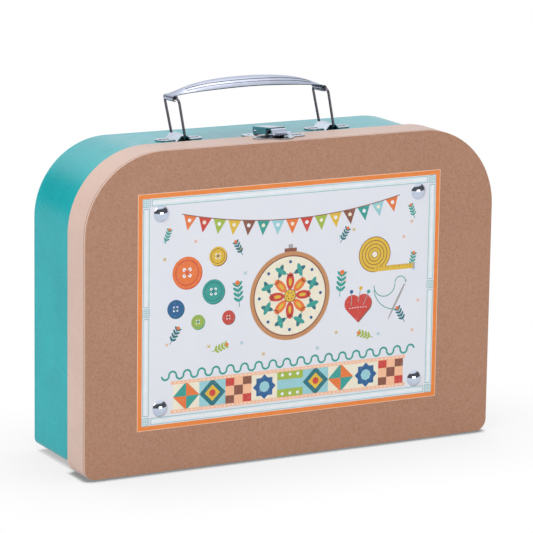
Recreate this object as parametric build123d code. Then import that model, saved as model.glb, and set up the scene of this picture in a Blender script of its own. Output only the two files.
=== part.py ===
from build123d import *
import os
from math import cos, radians, sin, sqrt

# Upright board sewing case in millimetres. It stands on its narrow side with the lid to the
# front (-Y), the base to the back (+Y) and the carrying handle on top (+Z). X runs along its width.
# The origin is the bottom centre of everything: z = 0 is the underside of the hinges' lid leaves.

# Board shells
case_width = 300.0  # outside of the lid
case_height = 210.0  # outside of the lid
case_depth = 85.5  # front of the lid board to the back of the base board
lid_depth = 26.0
top_radius = 54.0  # the two large upper corners, outside of the lid
bottom_radius = 8.0
board = 2.0  # thickness of every wall and panel
lining = 0.4  # paper inside
lining_trim = 0.2  # the front lining is cut this much short all round
lid_slide_gap = 0.8  # air between the base and the lid's lining
overlap = 8.0  # the base wall reaches this far into the lid
edge_softening = 0.7  # where paper wraps round a panel's outer edge
seam_chamfer = 0.3  # either side of the line where a panel meets its wall

# Printed label and its four domed rivets
label_width = 222.0
label_height = 154.6
label_thickness = 0.3
label_offset_x = -2.3  # the label sits a little left of the middle
label_centre_height = 105.8  # above the lid's bottom
rivet_inset_x = 16.5  # rivet centre in from the label's edge
rivet_inset_z = 13.7
rivet_head_diameter = 11.0
rivet_head_rise = 2.6
rivet_shank_diameter = 2.4
rivet_tail_diameter = 6.0
rivet_tail_thickness = 0.6

# Pressed fittings held by hollow prongs, and hinges by solid ones, that are clinched inside
fitting_offset_x = -4.8  # handle and latch sit a little left of the middle
fitting_sheet = 0.8
clinch_sheet = 0.6
prong_radius = 1.15
prong_bore = 0.85
prong_gap = 0.1  # between a prong and its slot
flare_radius = 1.6
flare_thickness = 0.4
prong_pitch = 2.6  # between the three prongs of one row
clinch_end = 2.5  # clinch plates reach this far past their last prong
clinch_width = 7.0
narrow_clinch_width = 4.6

# Handle
bracket_spacing = 110.0  # between the two wire loops' pivots
bracket_sheet = 0.7
bracket_length = 33.0
bracket_width = 11.0
bracket_row_centre = 10.6  # middle prong of each row, from the bracket's middle
bracket_centre_depth = 50.5  # behind the lid's front face
hump_foot_width = 11.0
tunnel_headroom = 0.55  # above the wire
tunnel_side_room = 0.7  # beside the wire, under the hump's crown
tunnel_end_gap = 0.55  # between a hump's end and the loop's side wire
wire_radius = 0.85
wire_lift = 0.55  # wire above the board in its tunnel
loop_foot_width = 19.4  # between the side wires' centres, along Y
loop_head_width = 21.0
loop_reach = 26.4  # between the lower and upper pivots
loop_head_bend = 2.15  # inside radius of the wire's upper corners
loop_foot_bend = 1.35  # and of its lower ones
loop_butt_gap = 0.3  # between the wire's two ends, inside the grip's curl
lean = 10.5  # degrees towards -X, as the handle stands
sag = 2.5  # degrees that the handle's rear hangs down, within the tunnels' play
grip_sheet = 0.8
# Stations of the grip from its middle towards either end: distance along it, rise of the top over
# the curls, half of the width, and drop from the top to the folded edge
grip_stations = [
    (0.0, 9.05, 10.5, 5.4),
    (26.0, 7.8, 9.5, 5.0),
    (43.0, 4.6, 7.6, 3.0),
    (50.5, 1.95, 6.8, 1.25),
]
grip_end_half_width = 6.8  # straight-sided over the curls
grip_end_drop = 0.3
grip_hem = 1.3  # width of the folded edge
grip_slide = 1.2  # towards the rear, along the loops' upper wires
curl_gap = 0.45  # between the wire and the curl round it
curl_opening = 60.0  # degrees left open in each curl
groove_insets = [1.9, 4.2]  # from the edge, on both sides
groove_width = 0.8
groove_depth = 0.35
groove_half_length = 46.0

# Latch
latch_width = 10.8
latch_sheet = 0.7
latch_side_gap = 0.3  # between an ear and the lever's side wall
latch_pin_radius = 0.8
latch_pin_gap = 0.05
latch_pin_head_radius = 1.4
latch_pin_head_thickness = 0.5
latch_pin_depth = 39.0  # behind the lid's front face
latch_pin_height = 3.5  # above the base's top
latch_heel_radius = 2.45
latch_plate_length = 24.0
latch_plate_width = 10.0
latch_plate_centre_depth = 43.5
latch_prong_spacing = 14.6
latch_ear_radius = 1.8
lever_wall_end_depth = 23.0  # the side walls stop here
lever_wall_clearance = 0.7  # side walls above the lid's top
lever_rear_rise = 3.1  # top of the lever at its rear end, above the pin
lever_wall_step_gap = 0.5  # the raised part of the side walls starts this far behind the lid
lever_bend_depth = 17.35  # the lever turns down into its hook here
lever_bend_length = 2.3
lever_bend_drop = 0.5
lever_front_rise = 6.0  # top of the lever at its bend, above the lid's top
lever_hook_depth = 13.9  # middle of the hook's downward leg
lever_hook_clearance = 0.5  # lowest point of the hook above the catch plate
lip_depth = 9.2  # tip of the thumb lip
lip_rise = 2.6
lip_flat_length = 2.0
lip_flat_rise = 0.2
lever_bend_radii = [1.6, 1.2, 0.8, 1.2]  # from the rear to the lip
catch_length = 37.0
catch_width = 10.0
catch_centre_depth = 15.4
catch_row_centre = 12.9
catch_clinch_setback = 1.0  # the clinch plate ends this far inside the catch plate
catch_bulge_length = 17.0
catch_bulge_depth = 4.6  # front edge of the bulge, behind the lid's front face
ridge_centre_depth = 16.4
ridge_thickness = 2.2
ridge_length = 8.0
ridge_height = 2.4

# Bottom hinges
hinge_spacing = 160.0
hinge_width = 24.0
hinge_knuckle_width = 8.0
hinge_knuckle_gap = 0.15
hinge_sheet = 0.6
hinge_pin_radius = 0.6
hinge_pin_gap = 0.05
hinge_lid_gap = 0.25  # barrel behind the lid's rear edge
lid_leaf_front_depth = 6.0
lid_prong_depth = 12.0
base_leaf_length = 17.0  # behind the pin
base_prong_reach = 11.0  # behind the pin
hinge_prong_spacing = 15.0

# Sizes that follow from the clearances above
wall_step = board + lining + lid_slide_gap  # the lid stands this far out of the base all round
hump_length = loop_foot_width - 2 * (wire_radius + tunnel_end_gap)  # along Y, between the side wires
hump_height = bracket_sheet + wire_lift + 2 * wire_radius + tunnel_headroom
hump_crown_width = 2 * (wire_radius + tunnel_side_room + bracket_sheet)

# Heights
lid_bottom = hinge_sheet
lid_top = lid_bottom + case_height
base_bottom = lid_bottom + wall_step
base_top = lid_top - wall_step

# Depths. The whole runs from the rivets' domes to the back panel, with the origin half way.
head_proud = label_thickness + rivet_head_rise
front = head_proud - (case_depth + head_proud) / 2
back = front + case_depth
lid_rear = front + lid_depth
base_front = lid_rear - overlap
inner_front = front + board
inner_back = back - board

os.makedirs("parts", exist_ok=True)


def case_outline(inset):
    """The case's front outline, drawn in from the lid's outside by inset."""
    sheet = Rectangle(case_width - 2 * inset, case_height - 2 * inset)
    sheet = fillet(sheet.vertices().group_by(Axis.Y)[-1], top_radius - inset)
    sheet = fillet(sheet.vertices().group_by(Axis.Y)[0], bottom_radius - inset)
    return Pos(0, lid_bottom + case_height / 2) * sheet


def slab(outline, y_front, y_rear):
    """An outline drawn in X and Z, made solid between two depths."""
    return extrude(Plane.XZ.offset(-y_rear) * outline, y_rear - y_front)


def band(inset, thickness, y_front, y_rear):
    outside = slab(case_outline(inset), y_front, y_rear)
    return outside - slab(case_outline(inset + thickness), y_front, y_rear)


def soften(panel, y_face, radius):
    """Round the outer edge of one face of a panel."""
    return fillet(outer_edges(panel, y_face), radius)


def outer_edges(shell, y_face):
    """The edges round the outside of a face that looks forwards or back at a given depth."""
    face = shell.faces().filter_by(Plane.XZ).sort_by(lambda f: abs(f.center().Y - y_face))[0]
    return face.outer_wire().edges()


def along_x(profile, x_middle, width):
    """A profile drawn in Y and Z, made solid about x_middle."""
    return extrude(Plane.YZ.offset(x_middle - width / 2) * profile, width)


def upright(x, y, z_low, z_high, radius):
    """A plain vertical cylinder between two heights."""
    return Pos(x, y, (z_low + z_high) / 2) * Cylinder(radius, z_high - z_low)


def row(x_middle, y):
    """Three prongs in a row along X."""
    return [(x_middle + step * prong_pitch, y) for step in (-1, 0, 1)]


def prongs(points, outer_z, inward):
    """Prongs from the board's outer face, through it and the clinch plate, then spread."""
    clinched = outer_z + inward * (board + lining + clinch_sheet)
    tubes = []
    for x, y in points:
        tubes.append(upright(x, y, *sorted((outer_z, clinched)), prong_radius))
        spread = [prong_radius, flare_radius][::inward]
        cone = Cone(spread[0], spread[1], flare_thickness)
        tubes.append(Pos(x, y, clinched + inward * flare_thickness / 2) * cone)
    return tubes


def bores(points, outer_z, inward):
    """What is bored out of a fitting along its prongs."""
    start = outer_z - inward * 2 * fitting_sheet
    end = outer_z + inward * (board + lining + clinch_sheet + 2 * flare_thickness)
    return [upright(x, y, *sorted((start, end)), prong_bore) for x, y in points]


def fastened(plate, points, outer_z, inward):
    """A fitting with its prongs on, bored through."""
    return plate + prongs(points, outer_z, inward) - bores(points, outer_z, inward)


def prong_slots(points, outer_z, inward):
    """Slots through board, lining and clinch plate, one for each row of close prongs or lone one."""
    rows = []
    for x, y in sorted(points):
        if rows and x - rows[-1][-1][0] < 2 * prong_pitch:
            rows[-1].append((x, y))
        else:
            rows.append([(x, y)])
    width = 2 * (prong_radius + prong_gap)
    depth = board + lining + clinch_sheet
    slots = []
    for prong_row in rows:
        x_first = prong_row[0][0]
        x_last = prong_row[-1][0]
        middle = Pos((x_first + x_last) / 2, prong_row[0][1], outer_z + inward * depth / 2)
        slots.append(middle * Box(x_last - x_first + width, width, depth))
    return slots


def clinch_plate(x, y, length, width, outer_z, inward, points):
    """A strip inside the case that a row of prongs is clinched over."""
    middle = outer_z + inward * (board + lining + clinch_sheet / 2)
    strip = extrude(RectangleRounded(length, width, width / 4), clinch_sheet / 2, both=True)
    return Pos(x, y, middle) * strip - prong_slots(points, outer_z, inward)


def strap(length, width):
    """Plan of a flat fitting with round ends."""
    return SlotOverall(length, width)


# Fitting positions
bracket_y = front + bracket_centre_depth
bracket_xs = {
    "left": fitting_offset_x - bracket_spacing / 2,
    "right": fitting_offset_x + bracket_spacing / 2,
}
bracket_points = {
    side: row(x - bracket_row_centre, bracket_y) + row(x + bracket_row_centre, bracket_y)
    for side, x in bracket_xs.items()
}
latch_plate_y = front + latch_plate_centre_depth
latch_points = [
    (fitting_offset_x + side * latch_prong_spacing / 2, latch_plate_y) for side in (-1, 1)
]
catch_y = front + catch_centre_depth
catch_points = row(fitting_offset_x - catch_row_centre, catch_y) + row(
    fitting_offset_x + catch_row_centre, catch_y
)
hinge_xs = {"left": -hinge_spacing / 2, "right": hinge_spacing / 2}
barrel_radius = hinge_pin_radius + hinge_pin_gap + hinge_sheet
hinge_pin_y = lid_rear + hinge_lid_gap + barrel_radius
hinge_pin_z = barrel_radius
lid_leaf_points = {
    side: [(x + end * hinge_prong_spacing / 2, front + lid_prong_depth) for end in (-1, 1)]
    for side, x in hinge_xs.items()
}
base_leaf_points = {
    side: [(x + end * hinge_prong_spacing / 2, hinge_pin_y + base_prong_reach) for end in (-1, 1)]
    for side, x in hinge_xs.items()
}


def make_base_shell():
    top_points = bracket_points["left"] + bracket_points["right"] + latch_points
    bottom_points = base_leaf_points["left"] + base_leaf_points["right"]
    slots = prong_slots(top_points, base_top, -1) + prong_slots(bottom_points, base_bottom, 1)
    inner_inset = wall_step + board
    wall = band(wall_step, board, base_front, inner_back) - slots
    wall = chamfer(outer_edges(wall, inner_back), seam_chamfer)
    panel = soften(slab(case_outline(wall_step), inner_back, back), back, edge_softening)
    panel = chamfer(outer_edges(panel, inner_back), seam_chamfer)
    wall_lining = band(inner_inset, lining, base_front, inner_back - lining) - slots
    back_lining = slab(case_outline(inner_inset), inner_back - lining, inner_back)
    return {
        "base_wall": wall,
        "base_back_panel": panel,
        "base_wall_lining": wall_lining,
        "base_back_lining": back_lining,
    }


def rivet_points():
    label_z = lid_bottom + label_centre_height
    across = label_width / 2 - rivet_inset_x
    up = label_height / 2 - rivet_inset_z
    return [
        (label_offset_x + side * across, label_z + level * up)
        for side in (-1, 1)
        for level in (-1, 1)
    ]


def along_y(x, z, y_front, y_rear, radius):
    """A plain cylinder pointing front to back between two depths."""
    return Pos(x, (y_front + y_rear) / 2, z) * Rot(90, 0, 0) * Cylinder(radius, y_rear - y_front)


def make_lid_shell():
    bottom_points = lid_leaf_points["left"] + lid_leaf_points["right"]
    slots = prong_slots(catch_points, lid_top, -1) + prong_slots(bottom_points, lid_bottom, 1)
    shank_hole = rivet_shank_diameter / 2 + prong_gap
    rivet_holes = [
        along_y(x, z, front - label_thickness, inner_front + lining, shank_hole)
        for x, z in rivet_points()
    ]
    wall = band(0, board, inner_front, lid_rear) - slots
    wall = chamfer(outer_edges(wall, inner_front), seam_chamfer)
    panel = soften(slab(case_outline(0), front, inner_front), front, edge_softening)
    panel = chamfer(outer_edges(panel, inner_front), seam_chamfer) - rivet_holes
    wall_lining = band(board, lining, inner_front + lining, lid_rear) - slots
    front_lining = slab(case_outline(board + lining_trim), inner_front, inner_front + lining)
    front_lining -= rivet_holes
    label_sheet = Pos(label_offset_x, lid_bottom + label_centre_height) * Rectangle(
        label_width, label_height
    )
    label = slab(label_sheet, front - label_thickness, front) - rivet_holes
    return {
        "lid_wall": wall,
        "lid_front_panel": panel,
        "lid_wall_lining": wall_lining,
        "lid_front_lining": front_lining,
        "printed_label": label,
    }


def make_rivets():
    """Domed head, shank through label and board, and a flat tail inside."""
    head_radius = rivet_head_diameter / 2
    dome_radius = (head_radius**2 + rivet_head_rise**2) / (2 * rivet_head_rise)
    seat = front - label_thickness
    tail_start = inner_front + lining
    rivets = []
    for x, z in rivet_points():
        ball = Pos(x, seat - rivet_head_rise + dome_radius, z) * Sphere(dome_radius)
        head = ball & along_y(x, z, seat - 2 * rivet_head_rise, seat, head_radius)
        shank = along_y(x, z, seat, tail_start, rivet_shank_diameter / 2)
        tail = along_y(
            x, z, tail_start, tail_start + rivet_tail_thickness, rivet_tail_diameter / 2
        )
        rivets.append(head + shank + tail)
    return rivets


def hump_profile(shrink):
    """Flat-topped gable in X and Z. shrink is the sheet taken off inside."""
    slope = (hump_foot_width - hump_crown_width) / 2 / hump_height
    side = shrink * sqrt(1 + slope**2)
    crown = hump_height - shrink
    foot_half = hump_foot_width / 2 - side
    crown_half = foot_half - slope * crown
    return make_face(
        Polyline((-foot_half, 0), (foot_half, 0), (crown_half, crown), (-crown_half, crown), close=True)
    )


def make_bracket(side):
    """Plate with a tunnel that the loop's lower wire lies in."""
    x = bracket_xs[side]
    y_front = bracket_y - hump_length / 2
    y_rear = bracket_y + hump_length / 2
    plate = extrude(Pos(x, bracket_y, base_top) * strap(bracket_length, bracket_width), bracket_sheet)
    hump = slab(Pos(x, base_top) * hump_profile(0), y_front, y_rear)
    tunnel = slab(Pos(x, base_top) * hump_profile(bracket_sheet), y_front, y_rear)
    return fastened(plate + hump - tunnel, bracket_points[side], base_top, -1)


def make_handle_clinch_plates():
    length = 2 * (bracket_row_centre + prong_pitch + clinch_end)
    return [
        clinch_plate(x, bracket_y, length, clinch_width, base_top, -1, bracket_points[side])
        for side, x in bracket_xs.items()
    ]


wire_z = base_top + wire_lift + wire_radius
curl_radius = wire_radius + curl_gap + grip_sheet
tilt = Rot(-sag, 0, 0)


def make_loop(side):
    """Closed loop of wire, butted inside the curl, standing at its lean."""
    foot = loop_foot_width / 2
    head = loop_head_width / 2
    bends = (loop_head_bend, loop_foot_bend, loop_foot_bend, loop_head_bend)
    path = FilletPolyline(
        (0, loop_butt_gap / 2, loop_reach),
        (0, head, loop_reach),
        (0, foot, 0),
        (0, -foot, 0),
        (0, -head, loop_reach),
        (0, -loop_butt_gap / 2, loop_reach),
        radius=[wire_radius + bend for bend in bends],
    )
    start = Plane(origin=path @ 0, z_dir=path % 0)
    wire = sweep(start * Circle(wire_radius), path=path)
    return Pos(bracket_xs[side], bracket_y, wire_z) * tilt * Rot(0, -lean, 0) * wire


def every_station():
    """The grip's stations from its left end to its right, with the ends over the curls."""
    ends = (bracket_spacing / 2, 0.0, grip_end_half_width, grip_end_drop)
    right = grip_stations + [ends]
    left = [(-x, *rest) for x, *rest in reversed(right[1:])]
    return left + right


def grip_section(x, top, half_width, drop, hem):
    """Outline of the strip across the grip: crowned, with its edges folded under."""
    edge = top - drop
    foot = edge - hem / 2
    inner = half_width - hem
    bend = half_width - hem / 2
    return Plane.YZ.offset(x) * make_face(
        [
            ThreePointArc((-half_width, edge), (0, top), (half_width, edge)),
            Polyline((half_width, edge), (bend, foot), (inner, foot), (inner, edge)),
            ThreePointArc((inner, edge), (0, top - grip_sheet), (-inner, edge)),
            Polyline((-inner, edge), (-inner, foot), (-bend, foot), (-half_width, edge)),
        ]
    )


def skin_section(x, top, half_width, drop):
    """Outline of a layer as deep as the grooves, lying over and under the grip's top face."""
    high = top + groove_depth
    low = top - groove_depth
    return Plane.YZ.offset(x) * make_face(
        [
            ThreePointArc((-half_width, high - drop), (0, high), (half_width, high - drop)),
            Line((half_width, high - drop), (half_width, low - drop)),
            ThreePointArc((half_width, low - drop), (0, low), (-half_width, low - drop)),
            Line((-half_width, low - drop), (-half_width, high - drop)),
        ]
    )


def groove_track(inset):
    """Two lines along the grip, as far in from its edge as inset, drawn from above."""
    shapes = []
    for line in (inset - groove_width / 2, inset + groove_width / 2):
        middle = grip_stations[0][2] - line
        end = grip_end_half_width - line
        reach = grip_stations[-1][0]
        shapes.append(
            make_face(
                [
                    ThreePointArc((-reach, end), (0, middle), (reach, end)),
                    Line((reach, end), (reach, -end)),
                    ThreePointArc((reach, -end), (0, -middle), (-reach, -end)),
                    Line((-reach, -end), (-reach, end)),
                ]
            )
        )
    return (shapes[0] - shapes[1]) & Rectangle(2 * groove_half_length, 2 * grip_stations[0][2])


def make_grip():
    """Arched strip, crowned across, grooved lengthwise and curled round the upper wires."""
    sections = []
    skins = []
    for x, rise, half_width, drop in every_station():
        at_end = abs(x) == bracket_spacing / 2
        hem = grip_sheet if at_end else grip_hem
        sections.append(grip_section(x, curl_radius + rise, half_width, drop, hem))
        skins.append(skin_section(x, curl_radius + rise, half_width, drop))
    grip = loft(sections)
    skin = loft(skins)
    deep = 2 * bracket_spacing
    for inset in groove_insets:
        grip -= extrude(groove_track(inset), deep, both=True) & skin
    width = 2 * grip_end_half_width
    for side in (-1, 1):
        ring = Circle(curl_radius) - Circle(curl_radius - grip_sheet)
        mouth = Pos(-side * curl_radius, -curl_radius / 2) * Rectangle(
            2 * curl_radius, curl_radius * sin(radians(curl_opening))
        )
        middle = Pos(side * bracket_spacing / 2, 0)
        curl = slab(middle * (ring - mouth), -width / 2, width / 2)
        room = slab(middle * Circle(curl_radius - grip_sheet), -width, width)
        grip = grip + curl - room
    raised = Pos(0, 0, loop_reach) * Rot(0, lean, 0) * Pos(0, grip_slide, 0) * grip
    middle_x = (bracket_xs["left"] + bracket_xs["right"]) / 2
    return Pos(middle_x, bracket_y, wire_z) * tilt * Rot(0, -lean, 0) * raised


latch_pin_y = front + latch_pin_depth
latch_pin_z = base_top + latch_pin_height
ear_outer = latch_width / 2 - latch_sheet - latch_side_gap


def ear_profile():
    """Upright tab in Y and Z round the latch pin, down to the base's top."""
    foot = Pos(latch_pin_y, (base_top + latch_pin_z) / 2) * Rectangle(
        2 * latch_ear_radius, latch_pin_height
    )
    return foot + Pos(latch_pin_y, latch_pin_z) * Circle(latch_ear_radius)


def make_latch_base():
    plan = Pos(fitting_offset_x, latch_plate_y, base_top) * strap(
        latch_plate_length, latch_plate_width
    )
    plate = extrude(plan, fitting_sheet)
    for side in (-1, 1):
        middle = fitting_offset_x + side * (ear_outer - fitting_sheet / 2)
        plate += along_x(ear_profile(), middle, fitting_sheet)
    pin_hole = Pos(fitting_offset_x, latch_pin_y, latch_pin_z) * Rot(0, 90, 0) * Cylinder(
        latch_pin_radius, latch_width
    )
    return fastened(plate - pin_hole, latch_points, base_top, -1)


def make_latch_pin():
    across = Pos(fitting_offset_x, latch_pin_y, latch_pin_z) * Rot(0, 90, 0)
    head_middle = latch_width / 2 + latch_pin_gap + latch_pin_head_thickness / 2
    shank = across * Cylinder(latch_pin_radius, 2 * head_middle)
    heads = [
        across * Pos(0, 0, side * head_middle) * Cylinder(latch_pin_head_radius, latch_pin_head_thickness)
        for side in (-1, 1)
    ]
    return shank + heads


def make_latch_lever():
    """Channel lever that runs forward over the rim, down into a hook, and out to a thumb lip."""
    bend_y = front + lever_bend_depth
    hook_y = front + lever_hook_depth
    rear_y = latch_pin_y + latch_heel_radius
    top = lid_top + lever_front_rise - latch_sheet / 2
    rear_top = latch_pin_z + lever_rear_rise - latch_sheet / 2
    hook_low = lid_top + fitting_sheet + lever_hook_clearance + latch_sheet / 2
    bend_rear = bend_y + lever_bend_length / 2
    path = FilletPolyline(
        (rear_y, rear_top),
        (bend_rear, top),
        (bend_y - lever_bend_length / 2, top - lever_bend_drop),
        (hook_y, hook_low),
        (front + lip_depth + lip_flat_length, hook_low + lip_flat_rise),
        (front + lip_depth, hook_low + lip_rise),
        radius=lever_bend_radii,
    )
    sheet = along_x(trace(path, latch_sheet), fitting_offset_x, latch_width)
    wall_y = front + lever_wall_end_depth
    slope = (top - rear_top) / (rear_y - bend_rear)
    clear_z = lid_top + lever_wall_clearance
    side_wall = make_face(
        [
            Polyline(
                (rear_y, latch_pin_z),
                (rear_y, rear_top),
                (wall_y, rear_top + slope * (rear_y - wall_y)),
                (wall_y, clear_z),
                (lid_rear - lever_wall_step_gap, clear_z),
                (latch_pin_y, latch_pin_z - latch_heel_radius),
            ),
            RadiusArc(
                (latch_pin_y, latch_pin_z - latch_heel_radius),
                (rear_y, latch_pin_z),
                -latch_heel_radius,
            ),
        ]
    )
    pin_hole = Pos(latch_pin_y, latch_pin_z) * Circle(latch_pin_radius + latch_pin_gap)
    lever = sheet
    for side in (-1, 1):
        middle = fitting_offset_x + side * (latch_width - latch_sheet) / 2
        lever += along_x(side_wall, middle, latch_sheet)
    return lever - along_x(pin_hole, fitting_offset_x, latch_width)


def make_catch_plate():
    """Plate on the lid's top with a forward bulge and the ridge that the hook drops behind."""
    plan = Pos(fitting_offset_x, catch_y) * strap(catch_length, catch_width)
    left = fitting_offset_x - catch_bulge_length / 2
    right = fitting_offset_x + catch_bulge_length / 2
    edge = catch_y - catch_width / 2
    bulge = make_face(
        [
            ThreePointArc((left, edge), (fitting_offset_x, front + catch_bulge_depth), (right, edge)),
            Polyline((right, edge), (right, catch_y), (left, catch_y), (left, edge)),
        ]
    )
    plate = extrude(Pos(0, 0, lid_top) * (plan + bulge), fitting_sheet)
    ridge_y = front + ridge_centre_depth
    ridge_profile = Pos(ridge_y, lid_top + ridge_height / 2) * Rectangle(
        ridge_thickness, ridge_height
    )
    ridge_profile = fillet(ridge_profile.vertices().group_by(Axis.Y)[-1], ridge_thickness / 3)
    ridge = along_x(ridge_profile, fitting_offset_x, ridge_length)
    return fastened(plate + ridge, catch_points, lid_top, -1)


def leaf_cut(x, outer):
    """Room for the other leaf's knuckles: the middle one, or the two outer ones."""
    reach = barrel_radius + hinge_lid_gap
    side_width = (hinge_width - hinge_knuckle_width) / 2 + hinge_knuckle_gap
    spans = [(x, hinge_knuckle_width + 2 * hinge_knuckle_gap)]
    if outer:
        offset = (hinge_width - side_width) / 2 + hinge_knuckle_gap
        spans = [(x - offset, side_width), (x + offset, side_width)]
    return [
        Pos(middle, hinge_pin_y, hinge_pin_z) * Box(width, 2 * reach, 4 * barrel_radius)
        for middle, width in spans
    ]


def barrel_profile():
    return Pos(hinge_pin_y, hinge_pin_z) * Circle(barrel_radius)


def make_lid_leaf(side):
    """Flat leaf under the lid with one middle knuckle, tangent to the barrel's underside."""
    x = hinge_xs[side]
    leaf_front = front + lid_leaf_front_depth
    plate = Pos((leaf_front + hinge_pin_y) / 2, hinge_sheet / 2) * Rectangle(
        hinge_pin_y - leaf_front, hinge_sheet
    )
    leaf = along_x(plate + barrel_profile(), x, hinge_width)
    bore = Pos(hinge_pin_y, hinge_pin_z) * Circle(hinge_pin_radius + hinge_pin_gap)
    leaf = leaf - along_x(bore, x, hinge_width) - leaf_cut(x, outer=True)
    return leaf + prongs(lid_leaf_points[side], lid_bottom, 1)


def make_base_leaf(side):
    """Leaf under the base whose two outer knuckles hang from short upright legs."""
    x = hinge_xs[side]
    leg_outer = hinge_pin_y + barrel_radius
    leg = Pos(leg_outer - hinge_sheet / 2, (hinge_pin_z + base_bottom) / 2) * Rectangle(
        hinge_sheet, base_bottom - hinge_pin_z
    )
    plate = Pos(leg_outer - hinge_sheet + base_leaf_length / 2, base_bottom - hinge_sheet / 2) * Rectangle(
        base_leaf_length, hinge_sheet
    )
    bore = Pos(hinge_pin_y, hinge_pin_z) * Circle(hinge_pin_radius)
    knuckles = along_x(barrel_profile() + leg - bore, x, hinge_width) - leaf_cut(x, outer=False)
    leaf = knuckles + along_x(plate, x, hinge_width)
    return leaf + prongs(base_leaf_points[side], base_bottom, 1)


def make_hinge_clinch_plates(points_by_side):
    return [
        clinch_plate(
            x,
            points_by_side[side][0][1],
            hinge_prong_spacing + 2 * clinch_end,
            narrow_clinch_width,
            base_bottom if points_by_side is base_leaf_points else lid_bottom,
            1,
            points_by_side[side],
        )
        for side, x in hinge_xs.items()
    ]


def make_hinge_pins():
    return [
        Pos(x, hinge_pin_y, hinge_pin_z) * Rot(0, 90, 0) * Cylinder(hinge_pin_radius, hinge_width)
        for x in hinge_xs.values()
    ]


nodes = {**make_base_shell(), **make_lid_shell()}
nodes["label_rivets"] = make_rivets()
for side in ("left", "right"):
    nodes[f"handle_bracket_{side}"] = make_bracket(side)
    nodes[f"handle_loop_{side}"] = make_loop(side)
    nodes[f"hinge_base_leaf_{side}"] = make_base_leaf(side)
    nodes[f"hinge_lid_leaf_{side}"] = make_lid_leaf(side)
nodes["handle_grip"] = make_grip()
nodes["handle_clinch_plates"] = make_handle_clinch_plates()
nodes["latch_base"] = make_latch_base()
nodes["latch_pin"] = make_latch_pin()
nodes["latch_lever"] = make_latch_lever()
nodes["latch_clinch_plate"] = clinch_plate(
    fitting_offset_x, latch_plate_y, latch_plate_length, clinch_width, base_top, -1, latch_points
)
nodes["catch_plate"] = make_catch_plate()
nodes["catch_clinch_plate"] = clinch_plate(
    fitting_offset_x,
    catch_y,
    catch_length - 2 * catch_clinch_setback,
    narrow_clinch_width,
    lid_top,
    -1,
    catch_points,
)
nodes["base_hinge_clinch_plates"] = make_hinge_clinch_plates(base_leaf_points)
nodes["lid_hinge_clinch_plates"] = make_hinge_clinch_plates(lid_leaf_points)
nodes["hinge_pins"] = make_hinge_pins()

for name, shape in nodes.items():
    solids = shape if isinstance(shape, list) else shape.solids()
    piece = Compound(children=list(solids)) if len(solids) > 1 else solids[0]
    piece.label = name
    export_step(piece, f"parts/{name}.step")

print("pivots, in mm")
print("lid hinge", 0, round(hinge_pin_y, 4), round(hinge_pin_z, 4))
print("latch", fitting_offset_x, round(latch_pin_y, 4), round(latch_pin_z, 4))
for side, x in bracket_xs.items():
    print("loop", side, round(x, 4), round(bracket_y, 4), round(wire_z, 4))
    head = Pos(x, bracket_y, wire_z) * tilt * Rot(0, -lean, 0) * Pos(0, 0, loop_reach)
    print("grip", side, [round(value, 4) for value in head.position])
print("handle axis", [0, round(cos(radians(sag)), 6), round(-sin(radians(sag)), 6)])
print("front", front, "back", back, "lid_rear", lid_rear, "base_front", base_front)
print("lid_top", lid_top, "base_top", base_top, "base_bottom", base_bottom)
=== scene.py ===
import math

import bmesh
import bpy
from mathutils import Matrix, Vector


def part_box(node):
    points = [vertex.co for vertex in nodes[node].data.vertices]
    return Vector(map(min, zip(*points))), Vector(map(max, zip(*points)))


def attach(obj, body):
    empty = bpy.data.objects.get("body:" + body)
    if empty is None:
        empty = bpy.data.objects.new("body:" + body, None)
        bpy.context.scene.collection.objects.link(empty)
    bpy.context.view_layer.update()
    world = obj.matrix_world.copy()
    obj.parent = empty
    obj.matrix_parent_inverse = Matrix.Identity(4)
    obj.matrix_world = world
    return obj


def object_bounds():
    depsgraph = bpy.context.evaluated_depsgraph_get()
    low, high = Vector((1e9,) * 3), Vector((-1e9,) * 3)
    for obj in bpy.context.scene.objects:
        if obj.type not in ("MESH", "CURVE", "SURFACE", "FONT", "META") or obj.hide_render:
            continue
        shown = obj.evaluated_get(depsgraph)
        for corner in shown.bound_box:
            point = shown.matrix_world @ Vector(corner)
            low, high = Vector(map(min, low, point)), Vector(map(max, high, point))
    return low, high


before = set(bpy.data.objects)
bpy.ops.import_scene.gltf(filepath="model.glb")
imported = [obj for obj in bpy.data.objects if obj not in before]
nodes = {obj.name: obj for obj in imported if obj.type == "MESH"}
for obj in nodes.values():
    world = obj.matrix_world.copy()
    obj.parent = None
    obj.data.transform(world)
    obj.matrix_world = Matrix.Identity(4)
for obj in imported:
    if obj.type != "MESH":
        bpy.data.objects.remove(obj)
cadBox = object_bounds()
perMetre = 1000  # millimetres
print("frame loaded,", len(nodes), "pieces")


# Camera first, standing where the photograph was taken from

viewpoint = {
    "place": (-0.9745, -1.8185, 0.5630),
    "yaw": 28.220,  # degrees to the right of straight ahead
    "pitch": 12.135,  # downwards
    "roll": 0.809,
    "lens": 215.57,
    "sensor": 36,
}


def makeCamera():
    yaw, pitch, roll = (math.radians(viewpoint[k]) for k in ("yaw", "pitch", "roll"))
    flat = math.cos(pitch)
    ahead = Vector((math.sin(yaw) * flat, math.cos(yaw) * flat, -math.sin(pitch)))
    level = Vector((math.cos(yaw), -math.sin(yaw), 0))
    upward = level.cross(ahead)
    right = math.cos(roll) * level + math.sin(roll) * upward
    top = right.cross(ahead)
    data = bpy.data.cameras.new("studioCamera")
    data.lens = viewpoint["lens"]
    data.sensor_width = viewpoint["sensor"]
    camera = bpy.data.objects.new("studioCamera", data)
    bpy.context.scene.collection.objects.link(camera)
    turn = Matrix((right, top, -ahead)).transposed().to_4x4()
    camera.matrix_world = Matrix.Translation(viewpoint["place"]) @ turn
    bpy.context.scene.camera = camera


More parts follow.
